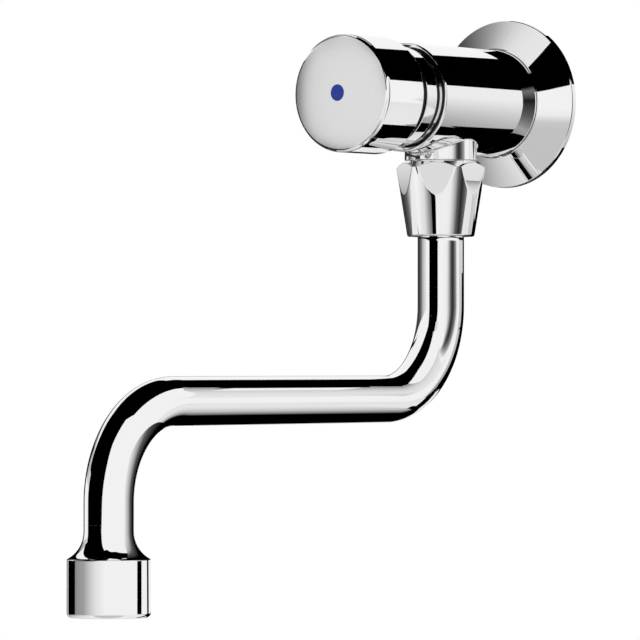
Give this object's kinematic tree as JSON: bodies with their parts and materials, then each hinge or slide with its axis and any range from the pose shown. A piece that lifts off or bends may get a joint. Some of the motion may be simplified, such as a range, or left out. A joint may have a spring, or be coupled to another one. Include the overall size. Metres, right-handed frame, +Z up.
{
  "type": "push timed tap",
  "caption": "Chrome wall-mounted push tap that closes by itself after a timed flow, with a round wall flange, a crowned push button and a swivelling Z-shaped spout under the body.",
  "frame": {"origin": "on the body's axis at the wall plane, where the inlet shank passes through the wall flange's back", "axes": "+Y into the wall along the inlet shank, +Z up, +X to the right for someone who faces the tap"},
  "size_m": [0.066, 0.2775, 0.2259],
  "materials": {
    "chrome_plate": "polished chrome plate on brass",
    "button_chrome": "polished chrome side, satin face",
    "index_blue": "glossy blue plastic",
    "brass": "machined brass",
    "stainless": "stainless steel",
    "acetal": "white acetal",
    "nitrile": "black nitrile rubber"
  },
  "bodies": {
    "tap": {"wall_flange": "chrome_plate", "flange_o_ring": "nitrile", "tap_body": "chrome_plate", "inlet_strainer": "stainless", "cartridge_head": "chrome_plate", "guide_bush": "acetal", "timing_sleeve": "acetal", "sleeve_o_ring": "nitrile", "stem_o_ring": "nitrile", "metering_pin": "stainless", "valve_cage": "acetal", "seat_gasket": "nitrile", "return_spring": "stainless", "spout_nut": "chrome_plate", "slip_ring": "acetal"},
    "button": {"push_button": "button_chrome", "colour_index": "index_blue", "plunger_stem": "brass", "timing_piston": "acetal", "piston_seal": "nitrile", "piston_clip": "stainless", "valve_holder": "brass", "valve_washer": "nitrile", "valve_nut": "brass"},
    "spout": {"spout_tube": "chrome_plate", "spout_collar": "brass", "collar_o_rings": "nitrile", "outlet_nozzle": "chrome_plate", "flow_straightener": "acetal", "outlet_gasket": "nitrile"}
  },
  "joints": [
    {"name": "button_press", "type": "slide", "parent": "tap", "child": "button", "axis": [0, 1, 0], "range_m": [0, 0.01], "stiffness_N_per_m": 1500, "springref_m": -0.012, "deforming": ["return_spring"]},
    {"name": "spout_swivel", "type": "hinge", "parent": "tap", "child": "spout", "pos_m": [0, -0.0445, -0.03], "axis": [0, 0, 1], "range_deg": [-95, 95]}
  ]
}
